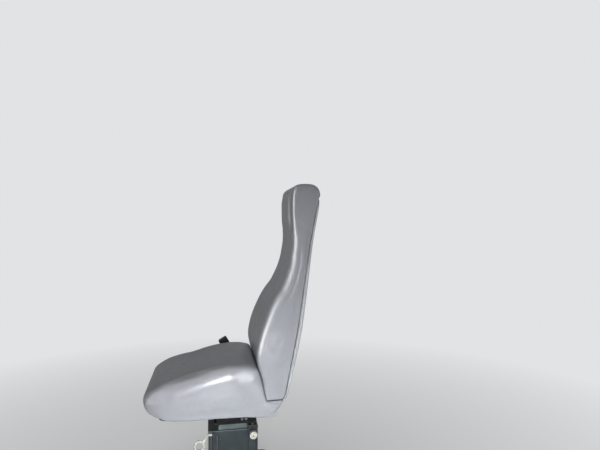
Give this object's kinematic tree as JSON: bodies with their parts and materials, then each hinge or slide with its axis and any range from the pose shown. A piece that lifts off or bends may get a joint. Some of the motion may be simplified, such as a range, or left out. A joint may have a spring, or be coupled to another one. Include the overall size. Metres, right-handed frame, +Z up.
{
  "type": "ambulance attendant seat",
  "caption": "High-backed grey vinyl attendant seat from the inside of an ambulance, sliding on two tracks over a swivelling floor pedestal",
  "frame": {"origin": "on the floor, on the swivel axis, at the centre of the floor plate's bolt pattern", "axes": "+Z up, the sitter faces -Y, the sitter's left hand is on +X"},
  "size_m": [0.511, 0.7028, 1.233],
  "materials": {
    "grey_vinyl": "smooth semi-gloss grey vinyl",
    "grey_shell": "formed grey sheet",
    "base_paint": "dark grey powder coat",
    "housing_paint": "mid grey powder coat",
    "black_paint": "black paint",
    "black_board": "plywood stained black",
    "black_plastic": "black moulded plastic",
    "white_coating": "white dipped coating",
    "bare_steel": "zinc-plated steel"
  },
  "bodies": {
    "pedestal": {"floor_plate": "base_paint", "pedestal_box": "base_paint", "gusset_left": "base_paint", "gusset_rear": "base_paint", "gusset_right": "base_paint", "gusset_front": "base_paint", "swivel_housing": "housing_paint", "bearing_race": "bare_steel", "pivot_post": "bare_steel", "lever_block": "base_paint", "release_lever": "white_coating", "lock_case": "base_paint", "lock_pin": "bare_steel", "lock_knob": "white_coating"},
    "turntable": {"turntable_plate": "black_paint", "riser_left": "black_paint", "riser_right": "black_paint", "riser_bolts_left": "bare_steel", "riser_bolts_right": "bare_steel", "slide_track_left": "bare_steel", "slide_track_right": "bare_steel"},
    "seat": {"slide_runner_left": "bare_steel", "slide_runner_right": "bare_steel", "seat_board": "black_board", "slide_release_bar": "black_paint", "slide_latch_left": "bare_steel", "slide_latch_right": "bare_steel", "bar_clips_left": "black_plastic", "bar_clips_right": "black_plastic", "back_iron_left": "black_paint", "back_iron_right": "black_paint", "back_shell": "grey_shell", "seat_cushion": "grey_vinyl", "back_cushion": "grey_vinyl", "belt_anchor": "bare_steel", "belt_stalk": "black_paint", "belt_buckle": "black_plastic"}
  },
  "joints": [
    {"name": "seat_swivel", "type": "hinge", "parent": "pedestal", "child": "turntable", "pos_m": [0, 0, 0.26], "axis": [0, 0, 1], "continuous": true},
    {"name": "seat_slide", "type": "slide", "parent": "turntable", "child": "seat", "axis": [0, 1, 0], "range_m": [-0.075, 0.075]}
  ]
}
